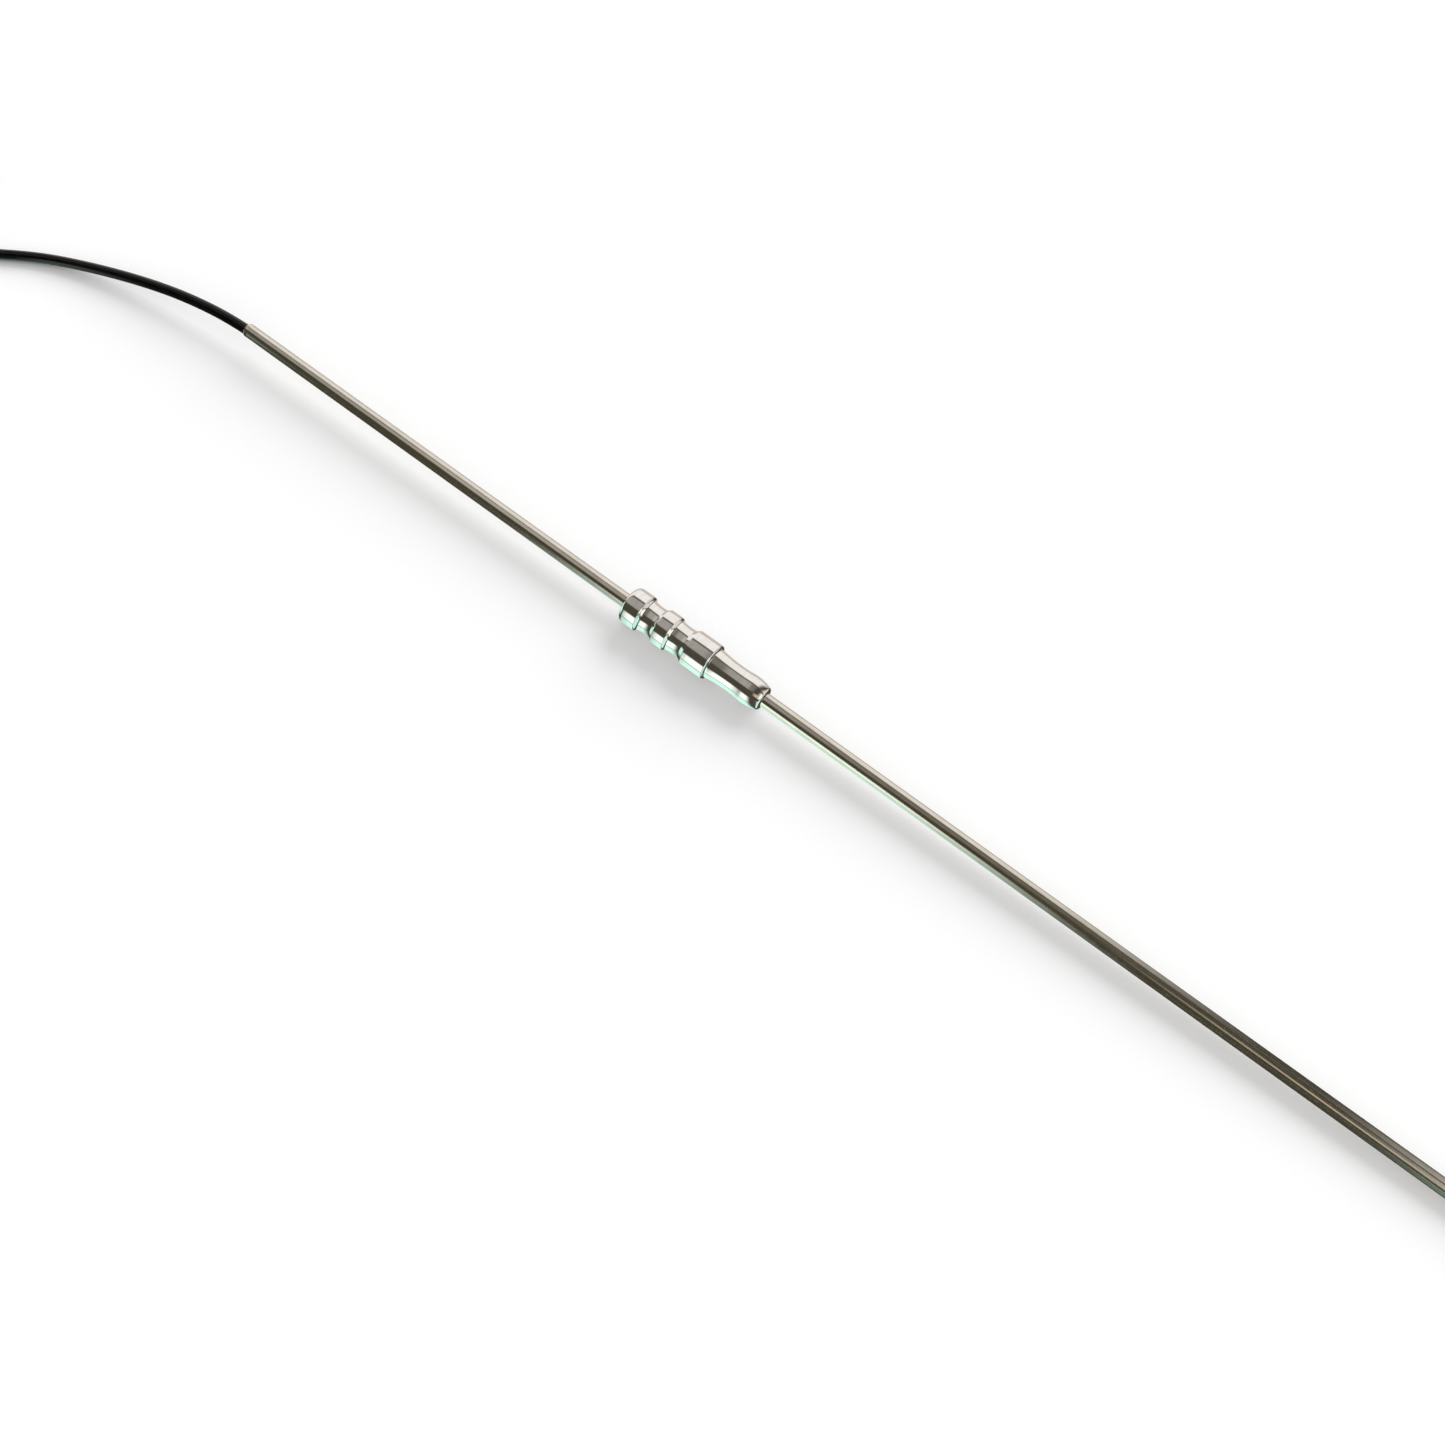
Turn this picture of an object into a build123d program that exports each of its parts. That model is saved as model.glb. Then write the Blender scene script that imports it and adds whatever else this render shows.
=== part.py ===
from build123d import *
import math
import os

# A circular knitting needle: two steel needles joined by a thin black cord, laid out for storage.
# Each needle is a hollow shank, a turned grip coupling and a screw-in needle tip. The cord's ends
# swivel inside the shanks, and the spare cord is folded into a tied hank between the needles.
#
# Millimetres, +Z up. The origin is on the table, midway between the two needles. Needle "a" points
# along +X and needle "b" along -X. Each needle piece is drawn in the needle's own frame, with its
# axis on +X and the shank's mouth at the origin, and is then placed.

os.makedirs("parts", exist_ok=True)

# Driving dimensions
NEEDLE_R = 1.0
CORD_R = 0.75
SHANK_LENGTH = 68.7  # mouth to the grip coupling's rear face
GRIP_LENGTH = 13.8
FERRULE_LENGTH = 8.2
TIP_LENGTH = 127.0  # ferrule's front face to the end of the point
POINT_LENGTH = 8.0
MOUTH_X = 54.0
NEEDLE_Y = 4.5

# Stations along a needle's axis
GRIP_X = SHANK_LENGTH
FERRULE_X = GRIP_X + GRIP_LENGTH
FERRULE_FRONT_X = FERRULE_X + FERRULE_LENGTH
NEEDLE_END_X = FERRULE_FRONT_X + TIP_LENGTH
POINT_X = NEEDLE_END_X - POINT_LENGTH

# Shank tube and the swivel inside its mouth
SHANK_BORE_R = 0.88
LIP_BORE_R = 0.79
LIP_LENGTH = 0.4
LIP_ROUND = 0.1
SLEEVE_R = 0.85
SLEEVE_START = 0.5
SLEEVE_END = 6.5
SLEEVE_CRIMPS = (1.6, 3.0)
CRIMP_WIDTH = 0.5
CRIMP_DEPTH = 0.05
CORD_DEPTH = 4.5  # how far the cord reaches inside the mouth
CORE_R = 0.4
CORE_HEAD_R = 0.65
CORE_HEAD_LENGTH = 0.8
PLUG_START = 7.45
PLUG_LENGTH = 2.5
PLUG_CHAMFER = 0.15

# Grip coupling: band stations from its rear face, band radii and the cone that leads up to each band
BANDS = ((0.0, 2.75, 2.6, 0.75), (5.0, 7.4, 2.51, 0.45), (9.7, 13.8, 2.54, 0.6))
NECK_R = 2.16
NECK_DIP = 0.07
BAND_BREAK = 0.12
SOCKET_DEPTH = 5.5
STUD_BORE_DEPTH = 7.0
STUD_BORE_R = 1.55

# Coupling stud, M3 x 0.5
THREAD_R = 1.5
THREAD_ROOT_R = 1.2
THREAD_PITCH = 0.5
THREAD_TURNS = 12
STUD_SHANK_R = 1.2
STUD_SHANK_LENGTH = 2.95

# Tip ferrule
JOIN_GAP = 0.03  # between the grip coupling's face and the ferrule's
FERRULE_SOCKET_R = 1.22
FERRULE_SOCKET_DEPTH = 3.0
FERRULE_WEB = 0.6

# Needle tip: the root that the ferrule holds, and the point
TIP_ROOT_R = 0.8
POINT_END_R = 0.25
POINT_BULGE = 0.1  # how far the taper stands outside a straight cone, half way along

# Cord hank, between the two needles and in line with needle b
HANK_X = -19.0
HANK_Y = -NEEDLE_Y
FOLD_SPACING = 29.0  # between the centres of the two end folds
FOLD_R = 6.0  # to the middle of the outer cord
HANK_HEIGHT = 4 * CORD_R
WAIST_HALF_WIDTH = 3.05
WAIST_HALF_LENGTH = 2.0
TIE_THICK = 0.4
TIE_WIDTH = 3.0
TIE_ROUND = 0.35
RAMP_LENGTH = 2.5  # where the cords climb over the tie

# A needle lies on the front edge of its foremost band and on the shoulder of its point
BAND_EDGE_X = FERRULE_X - BAND_BREAK
BAND_EDGE_R = BANDS[-1][2]
TILT = math.atan((BAND_EDGE_R - NEEDLE_R) / (POINT_X - BAND_EDGE_X))
MOUTH_Z = BAND_EDGE_R * math.cos(TILT) + BAND_EDGE_X * math.sin(TILT)
NEEDLE_A = Location((MOUTH_X, NEEDLE_Y, MOUTH_Z), (0, math.degrees(TILT), 0))
NEEDLE_B = Location((0, 0, 0), (0, 0, 180)) * NEEDLE_A


def turned(edges):
    """A solid turned about +X from a closed outline of (x, radius) edges."""
    return revolve(make_face(edges), Axis.X)


def turned_polygon(points):
    return turned([Polyline(*points, close=True)])


def round_end(end_x, radius):
    """A quarter circle that closes an outline on the axis, as a ball end."""
    centre_x = end_x - radius
    middle = (centre_x + radius * math.sqrt(0.5), radius * math.sqrt(0.5))
    return ThreePointArc((centre_x, radius), middle, (end_x, 0))


def shank_tube():
    """Hollow shank whose rolled lip traps the swivel."""
    end = GRIP_X + SOCKET_DEPTH
    outline = Polyline(
        (LIP_ROUND, NEEDLE_R),
        (end, NEEDLE_R),
        (end, SHANK_BORE_R),
        (LIP_LENGTH, SHANK_BORE_R),
        (LIP_LENGTH, LIP_BORE_R),
        (LIP_ROUND, LIP_BORE_R),
    )
    middle_r = (NEEDLE_R + LIP_BORE_R) / 2
    rolled_lip = ThreePointArc((LIP_ROUND, LIP_BORE_R), (0, middle_r), (LIP_ROUND, NEEDLE_R))
    return turned([outline, rolled_lip])


def crimp_sleeve():
    """Sleeve crimped on the cord's end, which turns inside the shank."""
    sleeve = turned_polygon(
        [
            (SLEEVE_START, CORD_R),
            (SLEEVE_START, SLEEVE_R),
            (SLEEVE_END, SLEEVE_R),
            (SLEEVE_END, CORE_R),
            (CORD_DEPTH, CORE_R),
            (CORD_DEPTH, CORD_R),
        ]
    )
    for start in SLEEVE_CRIMPS:
        sleeve -= turned_polygon(
            [
                (start, SLEEVE_R + CRIMP_DEPTH),
                (start + CRIMP_WIDTH, SLEEVE_R + CRIMP_DEPTH),
                (start + CRIMP_WIDTH, SLEEVE_R - CRIMP_DEPTH),
                (start, SLEEVE_R - CRIMP_DEPTH),
            ]
        )
    return sleeve


def core_wire():
    """The cord's bared steel core, with a head upset on its end behind the sleeve."""
    head_end = SLEEVE_END + CORE_HEAD_LENGTH
    outline = Polyline(
        (head_end, 0),
        (CORD_DEPTH, 0),
        (CORD_DEPTH, CORE_R),
        (SLEEVE_END, CORE_R),
        (SLEEVE_END, CORE_HEAD_R),
        (head_end - CORE_HEAD_R, CORE_HEAD_R),
    )
    return turned([outline, round_end(head_end, CORE_HEAD_R)])


def thrust_plug():
    """Pin pressed into the shank, which stops the swivel from sliding further in."""
    end = PLUG_START + PLUG_LENGTH
    return turned_polygon(
        [
            (PLUG_START, 0),
            (PLUG_START, SHANK_BORE_R - PLUG_CHAMFER),
            (PLUG_START + PLUG_CHAMFER, SHANK_BORE_R),
            (end - PLUG_CHAMFER, SHANK_BORE_R),
            (end, SHANK_BORE_R - PLUG_CHAMFER),
            (end, 0),
        ]
    )


def grip_coupling():
    """Turned grip with three bands, pressed on the shank and bored for the tip's stud."""
    edges = []
    neck_end = None
    for start, end, radius, lead in BANDS:
        x0, x1 = GRIP_X + start, GRIP_X + end
        lead_r = radius - lead if neck_end is None else NECK_R
        if neck_end is not None:
            dip = ((neck_end[0] + x0) / 2, NECK_R - NECK_DIP)
            edges.append(ThreePointArc(neck_end, dip, (x0, NECK_R)))
        edges.append(Line((x0, lead_r), (x0 + lead, radius)))
        edges.append(Line((x0 + lead, radius), (x1 - BAND_BREAK, radius)))
        edges.append(Line((x1 - BAND_BREAK, radius), (x1, radius - BAND_BREAK)))
        neck_end = (x1, NECK_R)
        if end < GRIP_LENGTH:
            edges.append(Line((x1, radius - BAND_BREAK), neck_end))
    first_r = BANDS[0][2] - BANDS[0][3]
    last_r = BANDS[-1][2] - BAND_BREAK
    bore_x = FERRULE_X - STUD_BORE_DEPTH
    inside = Polyline(
        (FERRULE_X, last_r),
        (FERRULE_X, STUD_BORE_R),
        (bore_x, STUD_BORE_R),
        (bore_x, 0),
        (GRIP_X + SOCKET_DEPTH, 0),
        (GRIP_X + SOCKET_DEPTH, NEEDLE_R),
        (GRIP_X, NEEDLE_R),
        (GRIP_X, first_r),
    )
    return turned(edges + [inside])


def coupling_stud():
    """Threaded stud of the needle tip. The thread is a row of ridges with the true pitch and depth."""
    thread_start = FERRULE_X - THREAD_TURNS * THREAD_PITCH
    points = [(thread_start, 0), (thread_start, THREAD_ROOT_R)]
    for turn in range(THREAD_TURNS):
        root_x = thread_start + turn * THREAD_PITCH
        points.append((root_x + THREAD_PITCH / 2, THREAD_R))
        points.append((root_x + THREAD_PITCH, THREAD_ROOT_R))
    points.append((FERRULE_X + STUD_SHANK_LENGTH, STUD_SHANK_R))
    points.append((FERRULE_X + STUD_SHANK_LENGTH, 0))
    return turned_polygon(points)


def tip_ferrule():
    """Waisted ferrule between the grip coupling and the tip's shaft."""
    rear_x = FERRULE_X + JOIN_GAP
    socket_end = FERRULE_X + FERRULE_SOCKET_DEPTH
    shaft_x = socket_end + FERRULE_WEB
    rear = (rear_x, 2.13)
    shoulder = (FERRULE_X + 5.5, 2.0)
    nose = (FERRULE_FRONT_X - 0.15, 1.66)
    waist = ThreePointArc(rear, (FERRULE_X + 2.9, 1.9), shoulder)
    nose_curve = ThreePointArc(shoulder, (FERRULE_X + 7.0, 1.93), nose)
    rest = Polyline(
        nose,
        (FERRULE_FRONT_X, 1.5),
        (FERRULE_FRONT_X, TIP_ROOT_R),
        (shaft_x, TIP_ROOT_R),
        (shaft_x, 0),
        (socket_end, 0),
        (socket_end, FERRULE_SOCKET_R),
        (rear_x, FERRULE_SOCKET_R),
        rear,
    )
    return turned([waist, nose_curve, rest])


def tip_shaft():
    """Solid needle tip: a straight shaft and a ground point with a rounded end."""
    start = FERRULE_X + FERRULE_SOCKET_DEPTH + FERRULE_WEB
    cap_x = NEEDLE_END_X - POINT_END_R
    middle = ((POINT_X + cap_x) / 2, (NEEDLE_R + POINT_END_R) / 2 + POINT_BULGE)
    body = Polyline(
        (NEEDLE_END_X, 0),
        (start, 0),
        (start, TIP_ROOT_R),
        (FERRULE_FRONT_X, TIP_ROOT_R),
        (FERRULE_FRONT_X, NEEDLE_R),
        (POINT_X, NEEDLE_R),
    )
    taper = ThreePointArc((POINT_X, NEEDLE_R), middle, (cap_x, POINT_END_R))
    return turned([body, taper, round_end(NEEDLE_END_X, POINT_END_R)])


def on_needle_a(x):
    """A point on needle a's axis, x from the shank's mouth."""
    return (NEEDLE_A * Location((x, 0, 0))).position


def on_needle_b(x):
    return (NEEDLE_B * Location((x, 0, 0))).position


def corner_radii(route):
    """The largest arc that each corner's shorter run leaves room for."""
    runs = [Vector(*b) - Vector(*a) for a, b in zip(route, route[1:])]
    radii = []
    for before, after in zip(runs, runs[1:]):
        half_turn = math.radians(before.get_angle(after)) / 2
        radii.append(0.45 * min(before.length, after.length) / math.tan(half_turn))
    return radii


def cord_lead(name, route):
    """A stretch of cord along straight runs joined by arcs."""
    route = [tuple(Vector(point)) for point in route]
    radii = corner_radii(route)
    path = FilletPolyline(*route, radius=radii)
    section = Plane(origin=path @ 0, z_dir=path % 0) * Circle(CORD_R)
    lead = sweep(section, path=path)
    share = lead.volume / (math.pi * CORD_R**2 * path.length)
    print(f"{name}: {path.length:.1f} mm, volume {share:.4f} of section x length")
    print("  corner radii", [round(radius, 1) for radius in radii])
    return lead


# From needle a's mouth down to the table and round to the hank
ROUTE_A = [
    on_needle_a(CORD_DEPTH),
    on_needle_a(-2.0),
    (43.0, 3.4, 3.15),
    (34.5, 1.6, 2.15),
    (26.0, -1.0, 1.2),
    (18.4, -4.2, 0.75),
    (10.6, -9.4, 0.75),
    (2.5, -10.5, 0.75),
    (-5.5, -10.5, 0.75),
]

# From the top of the hank to needle b's mouth
ROUTE_B = [
    (-32.5, -10.5, 2.25),
    (-39.0, -10.4, 2.3),
    (-46.6, -5.2, 3.3),
    on_needle_b(-1.5),
    on_needle_b(CORD_DEPTH),
]


def cord_hank():
    """Outer shape of the folded cord: two rounded ends and a waist that the tie draws in."""
    outer = FOLD_R + CORD_R
    half = FOLD_SPACING / 2
    quarter = [(half, outer), (WAIST_HALF_LENGTH, WAIST_HALF_WIDTH)]
    upper = quarter + [(-x, y) for x, y in reversed(quarter)]
    waist = make_face(Polyline(*upper, *[(-x, -y) for x, y in upper], close=True))
    folds = [Location((side * half, 0)) * Circle(outer) for side in (1, -1)]
    plan = extrude(waist + folds, amount=2 * HANK_HEIGHT)

    tie_edge = TIE_WIDTH / 2
    ramp_end = tie_edge + RAMP_LENGTH
    reach = half + outer
    steps = [(reach, 0), (ramp_end, 0), (tie_edge, TIE_THICK)]
    underside = steps + [(-x, z) for x, z in reversed(steps)]
    top = [(x, z + HANK_HEIGHT) for x, z in reversed(underside)]
    side_view = make_face(Polyline(*underside, *top, close=True))
    side_slab = extrude(Plane.XZ * side_view, amount=outer, both=True)
    return Location((HANK_X, HANK_Y, 0)) * (plan & side_slab)


def hank_tie():
    """Soft band round the hank's waist, which lies on the table."""
    hole_size = (2 * WAIST_HALF_WIDTH, HANK_HEIGHT)
    band_size = [size + 2 * TIE_THICK for size in hole_size]
    ring = Rectangle(*band_size) - Rectangle(*hole_size)
    ring = fillet(ring.vertices().group_by(lambda v: abs(v.Y))[-1], TIE_ROUND)
    band = extrude(Plane.YZ * ring, amount=TIE_WIDTH / 2, both=True)
    return Location((HANK_X, HANK_Y, band_size[1] / 2)) * band


NEEDLE_PIECES = {
    "shank_tube": shank_tube,
    "crimp_sleeve": crimp_sleeve,
    "core_wire": core_wire,
    "thrust_plug": thrust_plug,
    "grip_coupling": grip_coupling,
    "coupling_stud": coupling_stud,
    "tip_ferrule": tip_ferrule,
    "tip_shaft": tip_shaft,
}

nodes = {
    "cord_lead_a": cord_lead("cord_lead_a", ROUTE_A),
    "cord_hank": cord_hank(),
    "cord_lead_b": cord_lead("cord_lead_b", ROUTE_B),
    "hank_tie": hank_tie(),
}
for piece_name, make_piece in NEEDLE_PIECES.items():
    piece = make_piece()
    nodes[f"{piece_name}_a"] = NEEDLE_A * piece
    nodes[f"{piece_name}_b"] = NEEDLE_B * piece

for node_name, solid in nodes.items():
    export_step(solid, f"parts/{node_name}.step")
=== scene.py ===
"""Looks of a circular knitting needle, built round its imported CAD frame.

Lengths in this script are millimetres, in the CAD's frame, and MM turns them into Blender's metres.
Each needle piece is turned about its needle's own axis: +X from the shank's mouth to the point.
"""

import math

import bmesh
import bpy
from mathutils import Matrix, Vector


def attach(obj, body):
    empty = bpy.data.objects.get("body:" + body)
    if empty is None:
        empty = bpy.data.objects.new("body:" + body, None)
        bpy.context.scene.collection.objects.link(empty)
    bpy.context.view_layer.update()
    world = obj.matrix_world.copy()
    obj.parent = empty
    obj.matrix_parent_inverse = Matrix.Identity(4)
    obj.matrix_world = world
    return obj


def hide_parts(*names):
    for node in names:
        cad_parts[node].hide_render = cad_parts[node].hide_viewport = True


MM = 0.001

# The camera, 68 degrees above the table over needle a
CAMERA_PLACE = (185.35, -56.3, 174.8)
CAMERA_LOOK = (-0.2306, 0.2964, -0.9268)
SENSOR_WIDTH = 36.0
FOCAL_LENGTH = 36.872

# Main dimensions, as in the CAD
NEEDLE_R = 1.0
CORD_R = 0.75
CORD_DEPTH = 4.5  # how far the cord reaches inside a mouth
GRIP_X = 68.7
FERRULE_X = 82.5
FERRULE_FRONT_X = 90.7
POINT_X = 209.7
NEEDLE_END_X = 217.7
MOUTH_X, NEEDLE_Y = 54.0, 4.5

# Shank: its bores, its rolled lip and the fine line turned behind the lip
SHANK_BORE_R, LIP_BORE_R = 0.88, 0.79
LIP_LENGTH, LIP_ROUND = 0.4, 0.1
LIP_LINE_X, LIP_LINE_HALF_WIDTH, LIP_LINE_DEPTH = 0.62, 0.07, 0.015

# Grip: where each band starts and ends from the rear face, its radius and the length of its cone
BANDS = ((0.0, 2.75, 2.6, 0.75), (5.0, 7.4, 2.51, 0.45), (9.7, 13.8, 2.54, 0.6))
BAND_BREAK = 0.12
REAR_ROUND_LENGTH = 0.8
REAR_ROUND_MIDDLE = (0.2, -0.24)  # a point on the rounded rear edge, from the face and the band's radius
NECK_R, NECK_DIP = 2.16, 0.07
COVE_LENGTH, COVE_SAG = 0.42, 0.05  # the hollow corner in front of a band
SOCKET_DEPTH = 5.5
STUD_BORE_R, STUD_BORE_DEPTH, STUD_BORE_BREAK = 1.55, 7.0, 0.15
GRIP_EDGE_ROUND = 0.05

# Stud, M3 x 0.5
THREAD_R, THREAD_ROOT_R = 1.5, 1.2
THREAD_PITCH = 0.5
THREAD_LENGTH = 6.0
THREAD_FLAT = 0.12  # crest and root, each as a share of half a turn
THREAD_RUN_OUT = 0.5
THREAD_RELIEF = 0.9  # from the start of the front run-out to the ferrule
STUD_END_X = FERRULE_X + 2.95

# Ferrule and tip
JOIN_GAP = 0.03  # between the grip's face and the ferrule's
STUD_SOCKET_R, STUD_SOCKET_DEPTH = 1.22, 3.0
TIP_ROOT_R, TIP_ROOT_X = 0.8, FERRULE_X + 3.6
FERRULE_EDGE_ROUND = 0.06
POINT_END_R = 0.25
POINT_BULGE = 0.1  # how far the taper stands outside a straight cone, half way along

# Needle a lies on the front edge of its last band and on the shoulder of its point
BAND_EDGE_X = FERRULE_X - BAND_BREAK
BAND_EDGE_R = BANDS[-1][2]
TILT = math.atan((BAND_EDGE_R - NEEDLE_R) / (POINT_X - BAND_EDGE_X))
MOUTH_Z = BAND_EDGE_R * math.cos(TILT) + BAND_EDGE_X * math.sin(TILT)

# The hank: two end folds and a waist in a tie, between the needles. A strand's track is its distance
# from the middle line at the folds, and its pinch is the same in the tie.
HANK_X, HANK_Y = -19.0, -4.5
FOLD_HALF_SPACING = 14.5
WAIST_HALF_LENGTH = 2.0
OUTER_TRACK, INNER_TRACK = 6.0, 4.5
OUTER_PINCH, INNER_PINCH = 2.25, 0.75
LOW_LAYER, TOP_LAYER = 0.75, 2.25
TIE_THICK, TIE_WIDTH, TIE_EDGE_ROUND = 0.4, 3.0, 0.14
RAMP_END = 4.0  # from the tie's middle to where its strands are down again
RUN_STATIONS = (-11.0, -7.0, -3.0, 3.0, 7.0, 11.0)
FOLD_POINTS = 9

# The hank's turns, from the lead of needle a on: track, pinch and layer
TURNS = (
    (OUTER_TRACK, OUTER_PINCH, LOW_LAYER),
    (INNER_TRACK, INNER_PINCH, LOW_LAYER),
    (INNER_TRACK, INNER_PINCH, TOP_LAYER),
    (OUTER_TRACK, OUTER_PINCH, TOP_LAYER),
)
# The parts of a fold over which the cord climbs, and moves in or out, on its way to the next turn
WHOLE_FOLD = (0.0, 1.0)
CHANGES = ((WHOLE_FOLD, (0.5, 1.0)), ((0.05, 0.55), WHOLE_FOLD), (WHOLE_FOLD, (0.0, 0.4)))

# How finely the meshes are drawn
ROUND_STEPS = 96  # round a turned piece
ON_AXIS = 1e-6  # a smaller radius is a point on the axis
STUD_ROUND_STEPS, STUD_LENGTH_STEPS = 48, 168
SMALL_ARC_STEPS, NECK_STEPS, NOSE_STEPS, LONG_ARC_STEPS = 8, 10, 12, 24
SOFT_EDGE_STEPS = 3
SOFT_EDGE_SHARE = 0.4  # the most that a rounded corner takes of the lines beside it
SOFT_EDGE_ANGLE = math.radians(8)  # flatter corners aren't rounded
SHARP_ANGLE = math.radians(32)
TIE_CORNER_STEPS, TIE_EDGE_STEPS = 8, 4

# The floor lies a hair under the table's height, so that it and the lowest faces don't fight
FLOOR_REACH = 6000.0
FLOOR_DROP = 0.02


def in_metres(points):
    return [Vector(point) * MM for point in points]


# ---------------------------------------------------------------- camera

def add_camera():
    camera = bpy.data.objects.new("camera", bpy.data.cameras.new("camera"))
    camera.data.sensor_width = SENSOR_WIDTH
    camera.data.lens = FOCAL_LENGTH
    camera.data.clip_start = 0.005
    camera.data.clip_end = 20
    camera.location = Vector(CAMERA_PLACE) * MM
    camera.rotation_mode = "QUATERNION"
    camera.rotation_quaternion = Vector(CAMERA_LOOK).to_track_quat("-Z", "Y")
    bpy.context.scene.collection.objects.link(camera)
    bpy.context.scene.camera = camera


# ---------------------------------------------------------------- placing things on a needle

def needle_place(side):
    """The matrix, in millimetres, from a needle's own frame to the table's."""
    place = Matrix.Translation((MOUTH_X, NEEDLE_Y, MOUTH_Z)) @ Matrix.Rotation(TILT, 4, "Y")
    return place if side == "a" else Matrix.Rotation(math.pi, 4, "Z") @ place


def on_needle(side, x):
    """A point on a needle's axis, x from the shank's mouth."""
    return tuple(needle_place(side) @ Vector((x, 0, 0)))


# ---------------------------------------------------------------- cord

def ease(share):
    """A smooth step from 0 to 1."""
    share = min(max(share, 0.0), 1.0)
    return share * share * (3 - 2 * share)


def run_points(way, track, pinch, layer):
    """A straight run of the hank, between its folds, drawn in and lifted where the tie holds it.

    way is -1 for a run towards needle b, on the -Y side, and +1 for a run back, on the +Y side.
    """
    points = []
    for x in RUN_STATIONS:
        spread = max(abs(x) - WAIST_HALF_LENGTH, 0) / (FOLD_HALF_SPACING - WAIST_HALF_LENGTH)
        lift = TIE_THICK if abs(x) < RAMP_END else 0.0
        y = pinch + (track - pinch) * spread
        points.append((HANK_X + way * x, HANK_Y + way * y, layer + lift))
    return points


def fold_points(end, start, finish, climb_share=WHOLE_FOLD, widen_share=WHOLE_FOLD):
    """Half a turn round an end of the hank, from (track, layer) start to (track, layer) finish.

    end is +1 for the fold towards needle a, which the cord goes round from the +Y side to the -Y side,
    and -1 for the other, which it goes round the other way. The shares say over which part of the
    fold the cord climbs and moves in or out.
    """
    points = []
    for step in range(FOLD_POINTS):
        share = step / (FOLD_POINTS - 1)
        angle = math.pi * (0.5 - share)
        moved = ease((share - widen_share[0]) / (widen_share[1] - widen_share[0]))
        climbed = ease((share - climb_share[0]) / (climb_share[1] - climb_share[0]))
        track = start[0] + (finish[0] - start[0]) * moved
        layer = start[1] + (finish[1] - start[1]) * climbed
        x = HANK_X + end * (FOLD_HALF_SPACING + track * math.cos(angle))
        y = HANK_Y + end * track * math.sin(angle)
        points.append((x, y, layer))
    return points


def hank_points():
    """Three turns and one more run, from the lead of needle a to the lead of needle b."""
    points = []
    for turn, next_turn, (climb_share, widen_share) in zip(TURNS, TURNS[1:], CHANGES):
        here, there = (turn[0], turn[2]), (next_turn[0], next_turn[2])
        points += run_points(-1, *turn)
        points += fold_points(-1, here, here)
        points += run_points(1, *turn)
        points += fold_points(1, here, there, climb_share, widen_share)
    return points + run_points(-1, *TURNS[-1])


def cord_route():
    """The whole cord's control points, from inside needle a's mouth to inside needle b's."""
    lead_a = [
        on_needle("a", CORD_DEPTH),
        on_needle("a", -2.0),
        (43.0, 3.4, 3.15),
        (34.5, 1.6, 2.15),
        (26.0, -1.0, 1.2),
        (18.4, -4.2, 0.75),
        (10.6, -9.4, 0.75),
        (2.5, -10.5, 0.75),
        (-5.5, -10.5, 0.75),
    ]
    lead_b = [
        (-32.5, -10.5, 2.25),
        (-39.0, -10.4, 2.3),
        (-46.6, -5.2, 3.3),
        on_needle("b", -1.5),
        on_needle("b", CORD_DEPTH),
    ]
    return lead_a + hank_points() + lead_b


def add_cord(material):
    curve = bpy.data.curves.new("cord", "CURVE")
    curve.dimensions = "3D"
    curve.bevel_depth = CORD_R * MM
    curve.bevel_resolution = 7
    curve.resolution_u = 8
    curve.use_fill_caps = True
    route = in_metres(cord_route())
    spline = curve.splines.new("NURBS")
    spline.points.add(len(route) - 1)
    for point, place in zip(spline.points, route):
        point.co = (*place, 1)
    spline.order_u = 3
    spline.use_endpoint_u = True
    curve.materials.append(material)
    cord = bpy.data.objects.new("cord", curve)
    bpy.context.scene.collection.objects.link(cord)
    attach(cord, "cord")
    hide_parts("cord_lead_a", "cord_hank", "cord_lead_b")
    return cord


# ---------------------------------------------------------------- mesh helpers

def new_mesh(name, vertices, faces):
    mesh = bpy.data.meshes.new(name)
    mesh.from_pydata(vertices, [], faces)
    return mesh


def finish_mesh(name, mesh, material):
    """Outward faces, smooth shading that breaks at real edges, and a linked object."""
    work = bmesh.new()
    work.from_mesh(mesh)
    bmesh.ops.recalc_face_normals(work, faces=work.faces)
    work.to_mesh(mesh)
    work.free()
    mesh.shade_smooth()
    mesh.set_sharp_from_angle(angle=SHARP_ANGLE)
    mesh.materials.append(material)
    piece = bpy.data.objects.new(name, mesh)
    bpy.context.scene.collection.objects.link(piece)
    return piece


def ring_point(x, radius, share):
    """The point at a share of the turn round +X, as a mesh vertex in metres."""
    angle = math.tau * share
    return (x * MM, radius * math.cos(angle) * MM, radius * math.sin(angle) * MM)


def tube_faces(ring_count, ring_size, closed):
    """The faces between rings of vertices that follow each other, and from last to first if closed."""
    faces = []
    for ring in range(ring_count if closed else ring_count - 1):
        here, there = ring * ring_size, (ring + 1) % ring_count * ring_size
        for step in range(ring_size):
            after = (step + 1) % ring_size
            faces.append((here + step, here + after, there + after, there + step))
    return faces


def circle_centre(first, second, third):
    """The centre of the circle through three points."""
    (ax, ay), (bx, by), (cx, cy) = first, second, third
    a_square, b_square, c_square = ax * ax + ay * ay, bx * bx + by * by, cx * cx + cy * cy
    divisor = 2 * (ax * (by - cy) + bx * (cy - ay) + cx * (ay - by))
    x = (a_square * (by - cy) + b_square * (cy - ay) + c_square * (ay - by)) / divisor
    y = (a_square * (cx - bx) + b_square * (ax - cx) + c_square * (bx - ax)) / divisor
    return x, y


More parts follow.
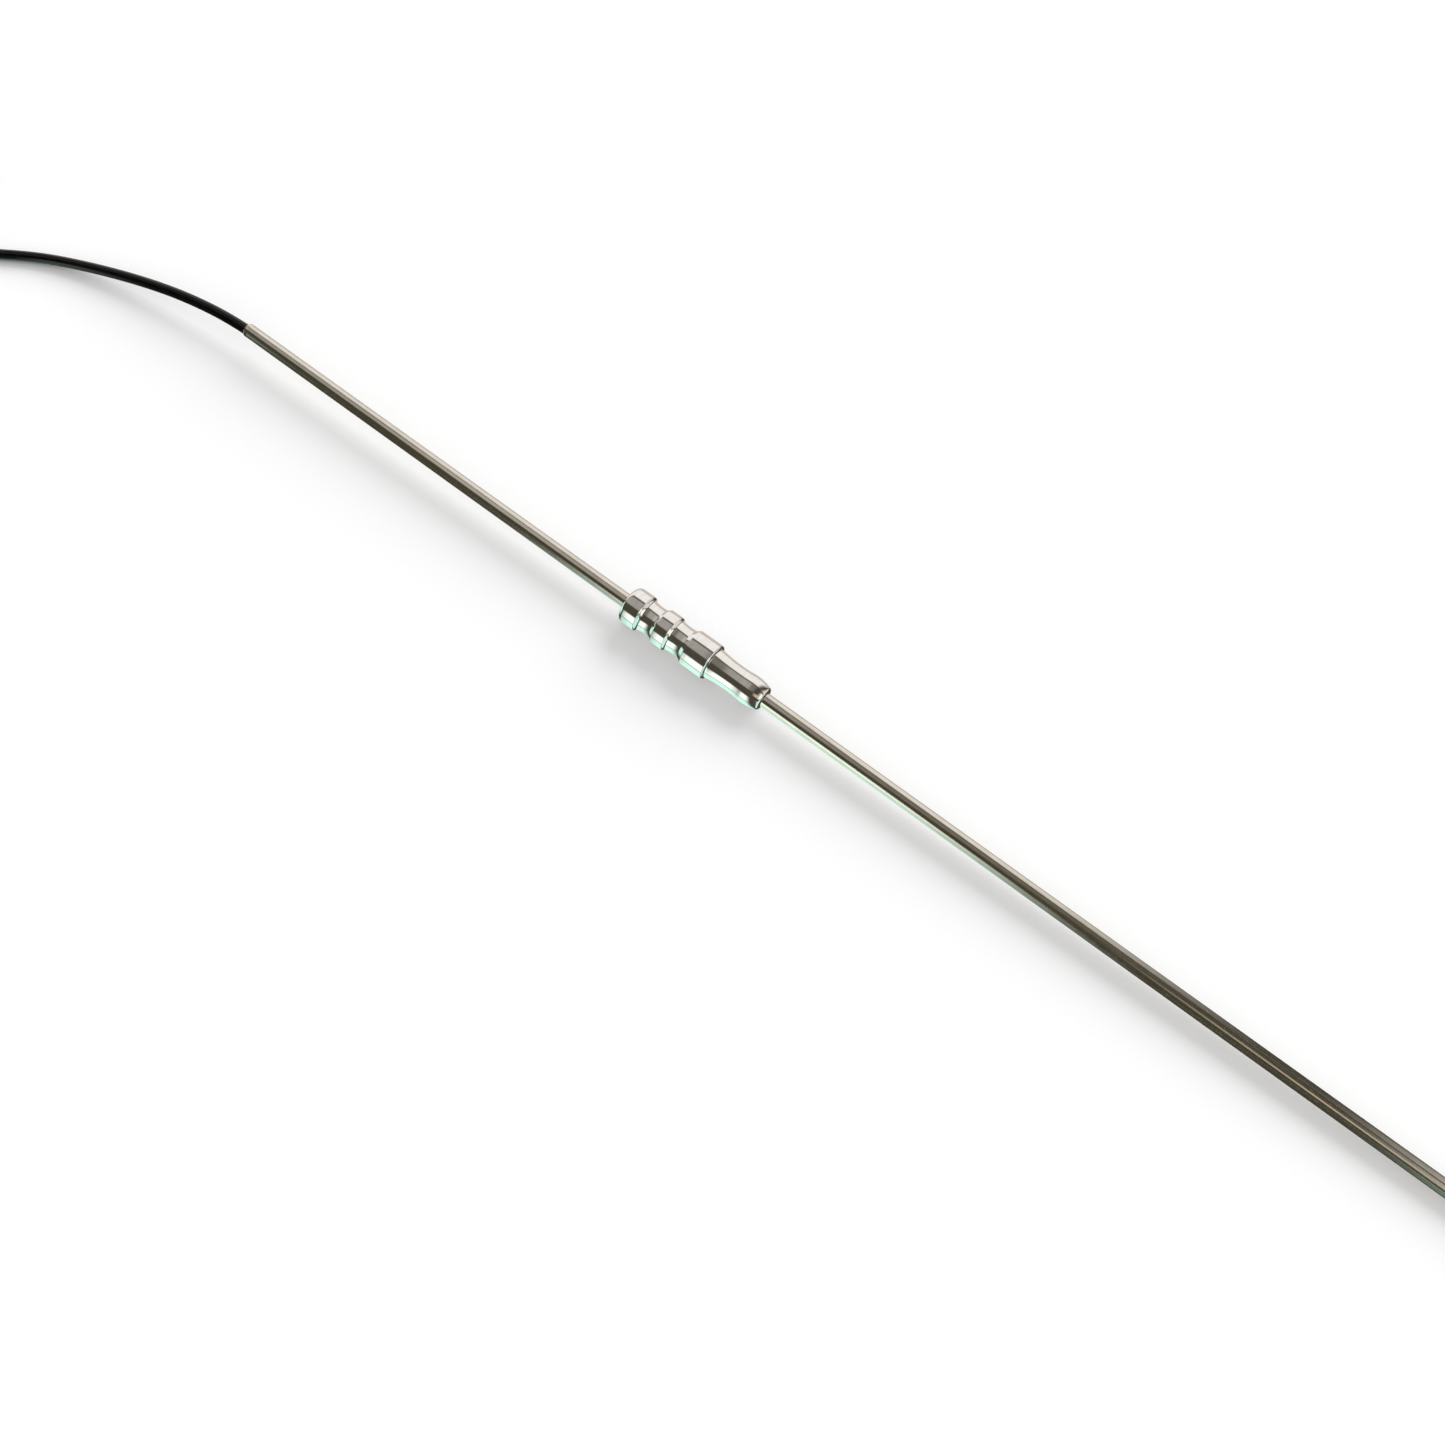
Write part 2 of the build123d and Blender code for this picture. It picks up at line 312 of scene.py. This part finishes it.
def arc(start, middle, end, steps):
    """Points on the arc from start through middle to end, without its start."""
    centre_x, centre_y = circle_centre(start, middle, end)
    radius = math.hypot(start[0] - centre_x, start[1] - centre_y)
    angles = [math.atan2(y - centre_y, x - centre_x) for x, y in (start, middle, end)]
    turn = math.remainder(angles[1] - angles[0], math.tau)
    turn += math.remainder(angles[2] - angles[1], math.tau)
    found = []
    for step in range(1, steps + 1):
        angle = angles[0] + turn * step / steps
        found.append((centre_x + radius * math.cos(angle), centre_y + radius * math.sin(angle)))
    return found


def softened(points, radius):
    """An open outline with each inner corner rounded, as a polished edge is."""
    found = [points[0]]
    for before, corner, after in zip(points, points[1:], points[2:]):
        corner = Vector(corner)
        to_before, to_after = Vector(before) - corner, Vector(after) - corner
        cut = min(radius, SOFT_EDGE_SHARE * to_before.length, SOFT_EDGE_SHARE * to_after.length)
        if to_before.angle(-to_after) < SOFT_EDGE_ANGLE:
            found.append(tuple(corner))
            continue
        start = corner + to_before.normalized() * cut
        end = corner + to_after.normalized() * cut
        for step in range(SOFT_EDGE_STEPS + 1):
            share = step / SOFT_EDGE_STEPS
            rest = 1 - share
            found.append(tuple(start * rest**2 + corner * 2 * share * rest + end * share * share))
    found.append(points[-1])
    return found


def turned_mesh(name, outline, closed):
    """A surface turned about +X from an outline of (x, radius). Ends on the axis close themselves."""
    vertices, rings = [], []
    for x, radius in outline:
        first = len(vertices)
        if radius < ON_AXIS:
            vertices.append((x * MM, 0, 0))
            rings.append([first] * ROUND_STEPS)
            continue
        vertices += [ring_point(x, radius, step / ROUND_STEPS) for step in range(ROUND_STEPS)]
        rings.append(list(range(first, first + ROUND_STEPS)))
    faces = []
    pairs = list(zip(rings, rings[1:]))
    if closed:
        pairs.append((rings[-1], rings[0]))
    for ring, other in pairs:
        for step in range(ROUND_STEPS):
            after = (step + 1) % ROUND_STEPS
            corners = (ring[step], ring[after], other[after], other[step])
            faces.append(tuple(dict.fromkeys(corners)))
    return new_mesh(name, vertices, faces)


def place_on_needle(piece, side, body, node):
    place = needle_place(side)
    place.translation *= MM
    piece.matrix_world = place
    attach(piece, f"{body}_{side}")
    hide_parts(f"{node}_{side}")


# ---------------------------------------------------------------- needle pieces

def shank_mesh():
    """Hollow shank: a rolled lip, the wall with its turned line, and the bore behind the lip."""
    lip_middle = (0.0, (NEEDLE_R + LIP_BORE_R) / 2)
    outline = arc((LIP_ROUND, LIP_BORE_R), lip_middle, (LIP_ROUND, NEEDLE_R), SMALL_ARC_STEPS)
    outline += [
        (LIP_LINE_X - LIP_LINE_HALF_WIDTH, NEEDLE_R),
        (LIP_LINE_X, NEEDLE_R - LIP_LINE_DEPTH),
        (LIP_LINE_X + LIP_LINE_HALF_WIDTH, NEEDLE_R),
        (GRIP_X + SOCKET_DEPTH, NEEDLE_R),
        (GRIP_X + SOCKET_DEPTH, SHANK_BORE_R),
        (LIP_LENGTH, SHANK_BORE_R),
        (LIP_LENGTH, LIP_BORE_R),
        (LIP_ROUND, LIP_BORE_R),
    ]
    return turned_mesh("shank", outline, closed=True)


def band_front(face, radius):
    """The front edge of a band, broken by a small chamfer."""
    return [(GRIP_X + face - BAND_BREAK, radius), (GRIP_X + face, radius - BAND_BREAK)]


def neck(face, band_r, end):
    """From a band's face, by a hollow corner and a shallow dip, to the foot of the next cone."""
    foot = (GRIP_X + face, band_r - BAND_BREAK)
    neck_start, neck_end = (GRIP_X + face + COVE_LENGTH, NECK_R), (GRIP_X + end, NECK_R)
    cove_middle = (Vector(foot) + Vector(neck_start)) / 2 - Vector((COVE_SAG, COVE_SAG))
    dip = ((neck_start[0] + neck_end[0]) / 2, NECK_R - NECK_DIP)
    return arc(foot, cove_middle, neck_start, SMALL_ARC_STEPS) + arc(neck_start, dip, neck_end, NECK_STEPS)


def grip_mesh():
    """Turned grip: three bands with cones behind and chamfers in front, and a stud bore."""
    _, face, radius, cone = BANDS[0]
    rear = (GRIP_X, radius - cone)
    rear_middle = (GRIP_X + REAR_ROUND_MIDDLE[0], radius + REAR_ROUND_MIDDLE[1])
    outline = [(GRIP_X, NEEDLE_R), rear]
    outline += arc(rear, rear_middle, (GRIP_X + REAR_ROUND_LENGTH, radius), SMALL_ARC_STEPS)
    outline += band_front(face, radius)
    for start, next_face, next_radius, cone in BANDS[1:]:
        outline += neck(face, radius, start)
        outline.append((GRIP_X + start + cone, next_radius))
        face, radius = next_face, next_radius
        outline += band_front(face, radius)
    outline += [
        (FERRULE_X, STUD_BORE_R + STUD_BORE_BREAK),
        (FERRULE_X - STUD_BORE_BREAK, STUD_BORE_R),
        (FERRULE_X - STUD_BORE_DEPTH, STUD_BORE_R),
        (FERRULE_X - STUD_BORE_DEPTH, 0.0),
        (GRIP_X + SOCKET_DEPTH, 0.0),
        (GRIP_X + SOCKET_DEPTH, NEEDLE_R),
        (GRIP_X, NEEDLE_R),
    ]
    return turned_mesh("grip", softened(outline, GRIP_EDGE_ROUND), closed=False)


def ferrule_mesh():
    """Waisted ferrule with a rounded nose, a stud socket behind and the tip's root in front."""
    rear_x = FERRULE_X + JOIN_GAP
    rear = (rear_x + 0.1, 2.14)
    waist = (FERRULE_X + 2.9, 1.9)
    shoulder = (FERRULE_X + 5.5, 2.0)
    crown = (FERRULE_X + 7.0, 1.93)
    nose = (FERRULE_FRONT_X - 0.15, 1.66)
    outline = [(rear_x, STUD_SOCKET_R), (rear_x, 2.03), rear]
    outline += arc(rear, waist, shoulder, LONG_ARC_STEPS)
    outline += arc(shoulder, crown, nose, NOSE_STEPS)
    outline += [
        (FERRULE_FRONT_X, 1.5),
        (FERRULE_FRONT_X, TIP_ROOT_R),
        (TIP_ROOT_X, TIP_ROOT_R),
        (TIP_ROOT_X, 0.0),
        (FERRULE_X + STUD_SOCKET_DEPTH, 0.0),
        (FERRULE_X + STUD_SOCKET_DEPTH, STUD_SOCKET_R),
        (rear_x, STUD_SOCKET_R),
    ]
    return turned_mesh("ferrule", softened(outline, FERRULE_EDGE_ROUND), closed=False)


def tip_mesh():
    """Solid tip: its root in the ferrule, the straight shaft and the ground, rounded point."""
    cap_x = NEEDLE_END_X - POINT_END_R
    outline = [
        (TIP_ROOT_X, 0.0),
        (TIP_ROOT_X, TIP_ROOT_R),
        (FERRULE_FRONT_X, TIP_ROOT_R),
        (FERRULE_FRONT_X, NEEDLE_R),
        (POINT_X, NEEDLE_R),
    ]
    taper_middle = ((POINT_X + cap_x) / 2, (NEEDLE_R + POINT_END_R) / 2 + POINT_BULGE)
    outline += arc(outline[-1], taper_middle, (cap_x, POINT_END_R), LONG_ARC_STEPS)
    cap_middle = (cap_x + POINT_END_R * math.sqrt(0.5), POINT_END_R * math.sqrt(0.5))
    outline += arc((cap_x, POINT_END_R), cap_middle, (NEEDLE_END_X, 0.0), SMALL_ARC_STEPS)
    return turned_mesh("tip", outline, closed=False)


def thread_height(turns):
    """The thread's share of its height after so many turns: slanting flanks, flat crest and root."""
    share = abs(turns % 1 - 0.5) * 2
    return min(max((share - THREAD_FLAT) / (1 - 2 * THREAD_FLAT), 0.0), 1.0)


def thread_fade(into):
    """How much of the thread's height is left so far along it: it runs out at both ends."""
    run_out_x = THREAD_LENGTH - THREAD_RELIEF
    return ease(into / THREAD_RUN_OUT) * (1 - ease((into - run_out_x) / THREAD_RUN_OUT))


def stud_mesh():
    """Stud with a right-hand helical thread and a plain shank."""
    start_x = FERRULE_X - THREAD_LENGTH
    vertices = []
    for length_step in range(STUD_LENGTH_STEPS + 1):
        x = start_x + (STUD_END_X - start_x) * length_step / STUD_LENGTH_STEPS
        into = x - start_x
        for round_step in range(STUD_ROUND_STEPS):
            share = round_step / STUD_ROUND_STEPS
            height = thread_fade(into) * thread_height(into / THREAD_PITCH - share)
            radius = THREAD_ROOT_R + (THREAD_R - THREAD_ROOT_R) * height
            vertices.append(ring_point(x, radius, share))
    faces = tube_faces(STUD_LENGTH_STEPS + 1, STUD_ROUND_STEPS, closed=False)
    faces.append(tuple(range(STUD_ROUND_STEPS)))
    faces.append(tuple(range(len(vertices) - STUD_ROUND_STEPS, len(vertices))))
    return new_mesh("stud", vertices, faces)


def add_needle(side, materials):
    """The five pieces of a needle that show, or that show once its tip is unscrewed."""
    pieces = (
        ("shank", shank_mesh, "handle", "shank_tube", "needle_steel"),
        ("grip", grip_mesh, "handle", "grip_coupling", "grip_metal"),
        ("stud", stud_mesh, "stud", "coupling_stud", "needle_steel"),
        ("ferrule", ferrule_mesh, "tip", "tip_ferrule", "grip_metal"),
        ("tip", tip_mesh, "tip", "tip_shaft", "needle_steel"),
    )
    for name, make_mesh, body, node, slot in pieces:
        piece = finish_mesh(f"{name}_{side}", make_mesh(), materials[name])
        place_on_needle(piece, side, body, node)


# ---------------------------------------------------------------- tie

def tie_line():
    """The closed line of the tie's middle, with outward directions, round the seven strands it holds."""
    low, top = LOW_LAYER + TIE_THICK, TOP_LAYER + TIE_THICK
    corners = [(OUTER_PINCH, low), (INNER_PINCH, top), (-OUTER_PINCH, top), (-OUTER_PINCH, low)]
    radius = CORD_R + TIE_THICK / 2
    line = []
    for number, corner in enumerate(corners):
        before, after = Vector(corners[number - 1]), Vector(corners[(number + 1) % len(corners)])
        corner = Vector(corner)
        entry = math.atan2(-(corner - before).x, (corner - before).y)
        leave = math.atan2(-(after - corner).x, (after - corner).y)
        turn = (leave - entry) % math.tau
        for step in range(TIE_CORNER_STEPS + 1):
            angle = entry + turn * step / TIE_CORNER_STEPS
            out = Vector((math.cos(angle), math.sin(angle)))
            line.append((corner + out * radius, out))
    return line


def tie_section():
    """The tie's flat section with rounded edges, as (along X, outward) points."""
    half_width, half_thick = TIE_WIDTH / 2 - TIE_EDGE_ROUND, TIE_THICK / 2 - TIE_EDGE_ROUND
    section = []
    for side_x, side_out, first in ((1, 1, 0), (-1, 1, 90), (-1, -1, 180), (1, -1, 270)):
        for step in range(TIE_EDGE_STEPS + 1):
            angle = math.radians(first + 90 * step / TIE_EDGE_STEPS)
            x = side_x * half_width + TIE_EDGE_ROUND * math.cos(angle)
            section.append((x, side_out * half_thick + TIE_EDGE_ROUND * math.sin(angle)))
    return section


def tie_mesh():
    """Rubber band: its section taken round its line."""
    line, section = tie_line(), tie_section()
    vertices = []
    for place, out in line:
        for x, outward in section:
            point = place + out * outward
            vertices.append(Vector((HANK_X + x, HANK_Y + point.x, point.y)) * MM)
    return new_mesh("tie", vertices, tube_faces(len(line), len(section), closed=True))


def add_tie(material):
    tie = finish_mesh("tie", tie_mesh(), material)
    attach(tie, "cord")
    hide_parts("hank_tie")
    return tie


# ---------------------------------------------------------------- node helpers

class Nodes:
    """Short ways to add and join shader nodes in one tree."""

    def __init__(self, tree):
        self.tree = tree
        tree.nodes.clear()

    def add(self, kind, **settings):
        node = self.tree.nodes.new(kind)
        for name, value in settings.items():
            setattr(node, name, value)
        return node

    def put(self, socket, value):
        """Joins a socket to another's output, or sets its own value."""
        if isinstance(value, bpy.types.NodeSocket):
            self.tree.links.new(value, socket)
        else:
            socket.default_value = value

    def math(self, operation, first, second):
        node = self.add("ShaderNodeMath", operation=operation)
        self.put(node.inputs[0], first)
        self.put(node.inputs[1], second)
        return node.outputs[0]

    def step(self, value, low, high, to_low=0.0, to_high=1.0):
        """A smooth change from to_low to to_high as value goes from low to high."""
        node = self.add("ShaderNodeMapRange", interpolation_type="SMOOTHSTEP")
        for number, amount in enumerate((value, low, high, to_low, to_high)):
            self.put(node.inputs[number], amount)
        return node.outputs[0]

    def mix(self, share, first, second):
        """A colour between two. The mix node's colour sockets are its inputs 6 and 7 and output 2."""
        node = self.add("ShaderNodeMix", data_type="RGBA")
        self.put(node.inputs[0], share)
        self.put(node.inputs[6], first)
        self.put(node.inputs[7], second)
        return node.outputs[2]

    def weighted(self, first, first_share, second):
        """first_share of the first value and the rest of the second."""
        first_part = self.math("MULTIPLY", first, first_share)
        return self.math("ADD", first_part, self.math("MULTIPLY", second, 1 - first_share))

    def noise(self, scales, detail):
        """Noise in the piece's own coordinates, with a scale per metre for each direction."""
        place = self.add("ShaderNodeTexCoord").outputs["Object"]
        stretch = self.add("ShaderNodeVectorMath", operation="MULTIPLY")
        self.put(stretch.inputs[0], place)
        self.put(stretch.inputs[1], scales)
        node = self.add("ShaderNodeTexNoise")
        self.put(node.inputs["Vector"], stretch.outputs[0])
        self.put(node.inputs["Scale"], 1.0)
        self.put(node.inputs["Detail"], detail)
        return node.outputs["Fac"]

    def between(self, finish, tone, low, high):
        """A colour from a finish's dark one to its light one as tone goes from low to high."""
        light, dark = finish
        return self.mix(self.step(tone, low, high), dark, light)

    def bump(self, height, distance, strength):
        node = self.add("ShaderNodeBump")
        self.put(node.inputs["Height"], height)
        self.put(node.inputs["Distance"], distance)
        self.put(node.inputs["Strength"], strength)
        return node.outputs[0]


def new_material(name):
    material = bpy.data.materials.new(name)
    material.use_nodes = True
    nodes = Nodes(material.node_tree)
    shader = nodes.add("ShaderNodeBsdfPrincipled")
    output = nodes.add("ShaderNodeOutputMaterial")
    nodes.put(output.inputs["Surface"], shader.outputs[0])
    return material, nodes, shader


# ---------------------------------------------------------------- materials

# Each finish has a light and a dark colour, and a noise wanders between them
STEEL = ((0.80, 0.77, 0.70, 1), (0.68, 0.64, 0.57, 1))
BRIGHT_METAL = ((0.93, 0.91, 0.89, 1), (0.84, 0.82, 0.80, 1))
BRASS = ((0.80, 0.62, 0.30, 1), (0.66, 0.50, 0.24, 1))
BLACK_NYLON = ((0.003, 0.003, 0.0035, 1), (0.0005, 0.0005, 0.0007, 1))
BLACK_RUBBER = ((0.06, 0.058, 0.055, 1), (0.02, 0.02, 0.022, 1))
WHITE_PAPER = ((0.92, 0.92, 0.92, 1), (0.9, 0.9, 0.9, 1))


def drawn_steel(name, roughness):
    """Polished steel wire: fine lengthwise drawing lines, faint stains and a few short rubs."""
    material, nodes, shader = new_material(name)
    lines = nodes.noise((60, 9000, 9000), detail=2.0)
    stains = nodes.noise((700, 700, 700), detail=4.0)
    rubs = nodes.noise((2600, 9000, 9000), detail=1.0)
    tone = nodes.weighted(lines, 0.65, stains)
    nodes.put(shader.inputs["Base Color"], nodes.between(STEEL, tone, 0.36, 0.64))
    nodes.put(shader.inputs["Metallic"], 1.0)
    worn = nodes.step(rubs, 0.6, 0.72, 0.0, 0.08)
    varied = nodes.step(lines, 0.3, 0.7, roughness - 0.04, roughness + 0.05)
    nodes.put(shader.inputs["Roughness"], nodes.math("ADD", varied, worn))
    nodes.put(shader.inputs["Normal"], nodes.bump(lines, distance=2e-6, strength=0.35))
    return material


def turned_metal(name, finish, roughness):
    """Bright turned metal: rings left by the tool, a polish that wanders, and handling marks."""
    material, nodes, shader = new_material(name)
    rings = nodes.noise((14000, 60, 60), detail=2.0)
    wide_rings = nodes.noise((2500, 30, 30), detail=1.0)
    marks = nodes.noise((1500, 2200, 2200), detail=5.0)
    tone = nodes.weighted(wide_rings, 0.5, marks)
    nodes.put(shader.inputs["Base Color"], nodes.between(finish, tone, 0.35, 0.65))
    nodes.put(shader.inputs["Metallic"], 1.0)
    handled = nodes.step(marks, 0.55, 0.75, 0.0, 0.06)
    varied = nodes.step(rings, 0.3, 0.7, roughness - 0.03, roughness + 0.04)
    nodes.put(shader.inputs["Roughness"], nodes.math("ADD", varied, handled))
    nodes.put(shader.inputs["Normal"], nodes.bump(rings, distance=1.5e-6, strength=0.4))
    return material


def nylon():
    """Black nylon coating on the cord: nearly smooth, with faint flow marks and dust-fine grain."""
    material, nodes, shader = new_material("black_nylon")
    grain = nodes.noise((9000, 9000, 9000), detail=2.0)
    flow = nodes.noise((500, 1800, 1800), detail=3.0)
    nodes.put(shader.inputs["Base Color"], nodes.between(BLACK_NYLON, flow, 0.35, 0.65))
    nodes.put(shader.inputs["Roughness"], nodes.step(grain, 0.3, 0.7, 0.12, 0.2))
    nodes.put(shader.inputs["Specular IOR Level"], 0.32)
    nodes.put(shader.inputs["Normal"], nodes.bump(flow, distance=8e-6, strength=0.3))
    return material


def rubber():
    """Matt black rubber of the tie, with a fine moulded grain and pale dust in it."""
    material, nodes, shader = new_material("tie_rubber")
    grain = nodes.noise((7000, 7000, 7000), detail=3.0)
    dust = nodes.noise((1200, 1200, 1200), detail=4.0)
    nodes.put(shader.inputs["Base Color"], nodes.between(BLACK_RUBBER, dust, 0.5, 0.8))
    nodes.put(shader.inputs["Roughness"], nodes.step(grain, 0.3, 0.7, 0.6, 0.85))
    nodes.put(shader.inputs["Normal"], nodes.bump(grain, distance=1.2e-5, strength=0.6))
    return material


def floor_paper():
    """Plain white paper with a hardly visible tooth."""
    light, dark = WHITE_PAPER
    material, nodes, shader = new_material("floor_paper")
    tooth = nodes.noise((3000, 3000, 3000), detail=3.0)
    nodes.put(shader.inputs["Base Color"], nodes.mix(tooth, dark, light))
    nodes.put(shader.inputs["Roughness"], 0.95)
    nodes.put(shader.inputs["Specular IOR Level"], 0.1)
    return material


# ---------------------------------------------------------------- studio

# What the metal mirrors. Each panel is the stretch of directions between two angles, in degrees from
# straight up towards +Y, and between two slants along X, with its colour. A later panel covers an
# earlier one.
PANELS = {
    "ceiling": ((-24, 25), (-2.0, -0.1), (0.37, 0.35, 0.325)),
    "ceiling lamp": ((-22, 20), (-0.56, -0.44), (0.58, 0.54, 0.48)),
    "far ceiling": ((-22, 25), (-0.1, 0.08), (0.20, 0.185, 0.15)),
    "back wall": ((35, 102), (-2.0, 0.10), (0.95, 0.92, 0.88)),
    "back table": ((102, 181), (-2.0, 0.10), (0.62, 0.56, 0.51)),
    "far back wall": ((25, 116), (0.33, 2.0), (0.80, 0.75, 0.71)),
    "front wall": ((-114, -72), (-0.34, -0.02), (1.25, 1.36, 1.25)),
    "front table": ((-181, -118), (-0.36, -0.02), (0.74, 1.15, 1.0)),
    "near front table": ((-181, -90), (-2.0, -0.74), (0.66, 1.1, 0.95)),
    "far front table": ((-181, -72), (0.37, 2.0), (0.66, 1.0, 0.9)),
    "end window": ((-48, 12), (0.38, 2.0), (1.20, 1.17, 1.12)),
    "warm lamp": ((-45, -24), (0.18, 0.36), (0.66, 0.55, 0.40)),
}
DARK_ROOM = (0.068, 0.062, 0.044, 1)
ANGLE_BLUR = 5.0
SLANT_BLUR = 0.1
EVEN_LIGHT = (0.73, 0.73, 0.73, 1)
WHITE = (1, 1, 1, 1)
SUN_STRENGTH = 2.5
SUN_ELEVATION = 30.0
SUN_AZIMUTH = 84.0  # from +X towards +Y
SUN_SPREAD = 46.0


def panel_mask(nodes, angle, slant, angles, slants):
    """1 inside a panel and 0 outside, with blurred edges."""
    edges = [
        nodes.step(angle, angles[0] - ANGLE_BLUR, angles[0] + ANGLE_BLUR),
        nodes.step(angle, angles[1] - ANGLE_BLUR, angles[1] + ANGLE_BLUR, 1.0, 0.0),
        nodes.step(slant, slants[0] - SLANT_BLUR, slants[0] + SLANT_BLUR),
        nodes.step(slant, slants[1] - SLANT_BLUR, slants[1] + SLANT_BLUR, 1.0, 0.0),
    ]
    mask = edges[0]
    for edge in edges[1:]:
        mask = nodes.math("MULTIPLY", mask, edge)
    return mask


def studio_colour(nodes):
    """The colour of the dark room and its panels in the direction that a mirrored ray takes."""
    direction = nodes.add("ShaderNodeSeparateXYZ")
    nodes.put(direction.inputs[0], nodes.add("ShaderNodeTexCoord").outputs["Generated"])
    slant, across, up = direction.outputs
    angle = nodes.math("MULTIPLY", nodes.math("ARCTAN2", across, up), 180 / math.pi)
    studio = DARK_ROOM
    for angles, slants, colour in PANELS.values():
        mask = panel_mask(nodes, angle, slant, angles, slants)
        studio = nodes.mix(mask, studio, (*colour, 1))
    return studio


def add_world():
    """Even white light, which glossy surfaces see as a studio with panels."""
    world = bpy.data.worlds.new("studio")
    bpy.context.scene.world = world
    world.use_nodes = True
    world.cycles.sampling_method = "NONE"
    nodes = Nodes(world.node_tree)
    ray = nodes.add("ShaderNodeLightPath")
    # No ray that has left a matt surface sees the studio, so its colours don't tint the table
    off_matt = nodes.math("LESS_THAN", ray.outputs["Diffuse Depth"], 0.5)
    mirrored = nodes.math("MULTIPLY", ray.outputs["Is Glossy Ray"], off_matt)
    light = nodes.mix(mirrored, EVEN_LIGHT, studio_colour(nodes))
    colour = nodes.mix(ray.outputs["Is Camera Ray"], light, WHITE)
    background = nodes.add("ShaderNodeBackground")
    nodes.put(background.inputs["Color"], colour)
    nodes.put(nodes.add("ShaderNodeOutputWorld").inputs["Surface"], background.outputs[0])


def add_sun():
    """Low, wide light from behind needle a, which throws the soft shadow towards -Y."""
    sun = bpy.data.objects.new("sun", bpy.data.lights.new("sun", "SUN"))
    sun.data.energy = SUN_STRENGTH
    sun.data.angle = math.radians(SUN_SPREAD)
    elevation, azimuth = math.radians(SUN_ELEVATION), math.radians(SUN_AZIMUTH)
    flat = math.cos(elevation)
    towards = Vector((flat * math.cos(azimuth), flat * math.sin(azimuth), math.sin(elevation)))
    sun.rotation_mode = "QUATERNION"
    sun.rotation_quaternion = towards.to_track_quat("Z", "Y")
    sun.visible_glossy = False
    bpy.context.scene.collection.objects.link(sun)


def add_floor():
    far, low = FLOOR_REACH, -FLOOR_DROP
    corners = in_metres([(-far, -far, low), (far, -far, low), (far, far, low), (-far, far, low)])
    mesh = new_mesh("floor", corners, [(0, 1, 2, 3)])
    mesh.materials.append(floor_paper())
    floor = bpy.data.objects.new("floor", mesh)
    bpy.context.scene.collection.objects.link(floor)
    floor.visible_glossy = False


# ---------------------------------------------------------------- the scene

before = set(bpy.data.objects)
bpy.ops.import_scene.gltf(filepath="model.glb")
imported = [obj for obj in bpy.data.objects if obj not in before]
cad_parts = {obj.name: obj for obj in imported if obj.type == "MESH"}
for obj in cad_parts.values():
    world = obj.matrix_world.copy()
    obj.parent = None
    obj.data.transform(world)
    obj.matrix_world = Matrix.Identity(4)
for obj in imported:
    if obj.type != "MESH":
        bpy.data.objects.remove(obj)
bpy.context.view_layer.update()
add_camera()

needle_materials = {
    "shank": drawn_steel("shank_steel", roughness=0.13),
    "grip": turned_metal("grip_metal", BRIGHT_METAL, roughness=0.07),
    "stud": turned_metal("stud_steel", STEEL, roughness=0.2),
    "ferrule": turned_metal("ferrule_metal", BRIGHT_METAL, roughness=0.07),
    "tip": drawn_steel("tip_steel", roughness=0.13),
}
brass = turned_metal("sleeve_brass", BRASS, roughness=0.22)
core_steel = drawn_steel("core_steel", roughness=0.3)

cord = add_cord(nylon())
tie = add_tie(rubber())
for side in "ab":
    add_needle(side, needle_materials)
    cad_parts[f"crimp_sleeve_{side}"].data.materials[0] = brass
    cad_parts[f"thrust_plug_{side}"].data.materials[0] = brass
    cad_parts[f"core_wire_{side}"].data.materials[0] = core_steel

add_floor()
add_sun()
add_world()
bpy.context.scene.view_settings.view_transform = "Standard"
